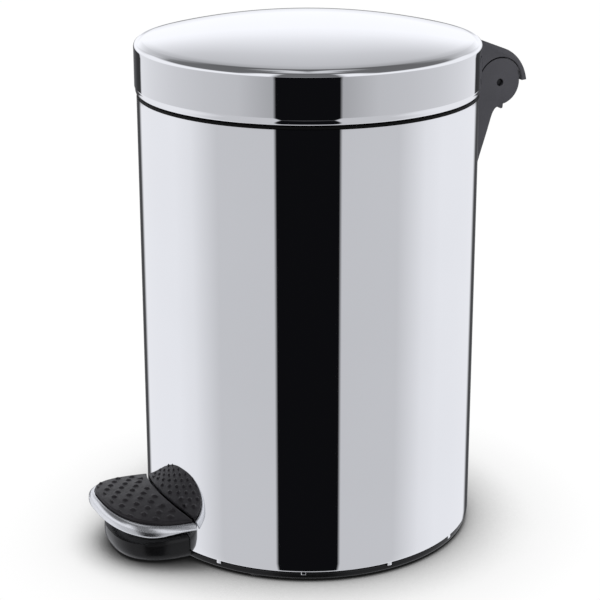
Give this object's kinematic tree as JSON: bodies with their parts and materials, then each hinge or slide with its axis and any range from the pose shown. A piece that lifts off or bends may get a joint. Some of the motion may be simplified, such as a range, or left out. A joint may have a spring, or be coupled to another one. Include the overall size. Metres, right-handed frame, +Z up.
{
  "type": "pedal bin",
  "caption": "Round steel pedal bin with a domed hinged lid, a foot pedal on a lever and lift rod, and a lift-out bucket with a bail handle.",
  "frame": {"origin": "on the floor, on the axis of the round body, midway between the pedal's tip and the hinge hood's tip", "axes": "+Z up along the body's axis, -Y towards the pedal, +Y towards the lid hinge, +X along the hinge pin"},
  "size_m": [0.2528, 0.352, 0.389],
  "materials": {
    "mirror_steel": "mirror-polished stainless steel",
    "pedal_chrome": "bright, slightly softened",
    "plain_steel": "zinc-plated, satin",
    "black_plastic": "moulded, semi-gloss",
    "grey_plastic": "moulded, fine matte grain",
    "bucket_plastic": "moulded, matte",
    "pedal_rubber": "matte, with raised grip bumps",
    "rubber": "matte"
  },
  "bodies": {
    "bin_body": {"outer_shell": "mirror_steel", "top_trim_ring": "black_plastic", "base_ring": "black_plastic", "base_plate": "plain_steel", "rubber_foot_1": "rubber", "rubber_foot_2": "rubber", "rubber_foot_3": "rubber", "rubber_foot_4": "rubber", "pedal_bracket": "plain_steel", "pedal_pivot_pin": "plain_steel", "rod_guide_lower": "black_plastic", "rod_guide_upper": "black_plastic", "hinge_bracket": "grey_plastic", "hinge_pin": "plain_steel", "hinge_backing_plate": "plain_steel", "bracket_screw_1": "plain_steel", "bracket_screw_2": "plain_steel", "bracket_screw_3": "plain_steel", "bracket_screw_4": "plain_steel"},
    "pedal": {"pedal_tray": "pedal_chrome", "pedal_pad": "pedal_rubber", "pedal_lever": "plain_steel", "pedal_rivet_1": "plain_steel", "pedal_rivet_2": "plain_steel"},
    "lift_rod": {"lift_rod": "plain_steel", "rod_head": "black_plastic", "rod_collar": "plain_steel"},
    "lid": {"lid_shell": "mirror_steel", "lid_liner": "black_plastic", "hinge_arm": "grey_plastic", "crank_pin": "plain_steel", "lid_screw_1": "plain_steel", "lid_screw_2": "plain_steel", "lid_bumper_1": "rubber", "lid_bumper_2": "rubber", "lid_bumper_3": "rubber"},
    "bucket": {"inner_bucket": "bucket_plastic"},
    "bail": {"bail_wire": "plain_steel", "bail_grip": "black_plastic"}
  },
  "joints": [
    {"name": "lid_hinge", "type": "hinge", "parent": "bin_body", "child": "lid", "pos_m": [0, 0.1492, 0.3318], "axis": [-1, 0, 0], "range_deg": [0, 78]},
    {"name": "pedal_press", "type": "hinge", "parent": "bin_body", "child": "pedal", "pos_m": [0, -0.108, 0.032], "axis": [1, 0, 0], "range_deg": [-0.2, 12.19]},
    {"name": "rod_lift", "type": "slide", "parent": "bin_body", "child": "lift_rod", "axis": [0, 0, 1], "range_m": [-0.0003, 0.04687]},
    {"name": "bucket_lift", "type": "slide", "parent": "bin_body", "child": "bucket", "axis": [0, 0, 1], "range_m": [0, 0.008]},
    {"name": "bail_swing", "type": "hinge", "parent": "bucket", "child": "bail", "pos_m": [0, 0, 0.3355], "axis": [-1, 0, 0], "range_deg": [0, 7]}
  ],
  "couplings": [
    {"joint": "pedal_press", "follows": "lid_hinge", "ratio": 0.15368},
    {"joint": "rod_lift", "follows": "lid_hinge", "m_per_rad": 0.034208}
  ]
}
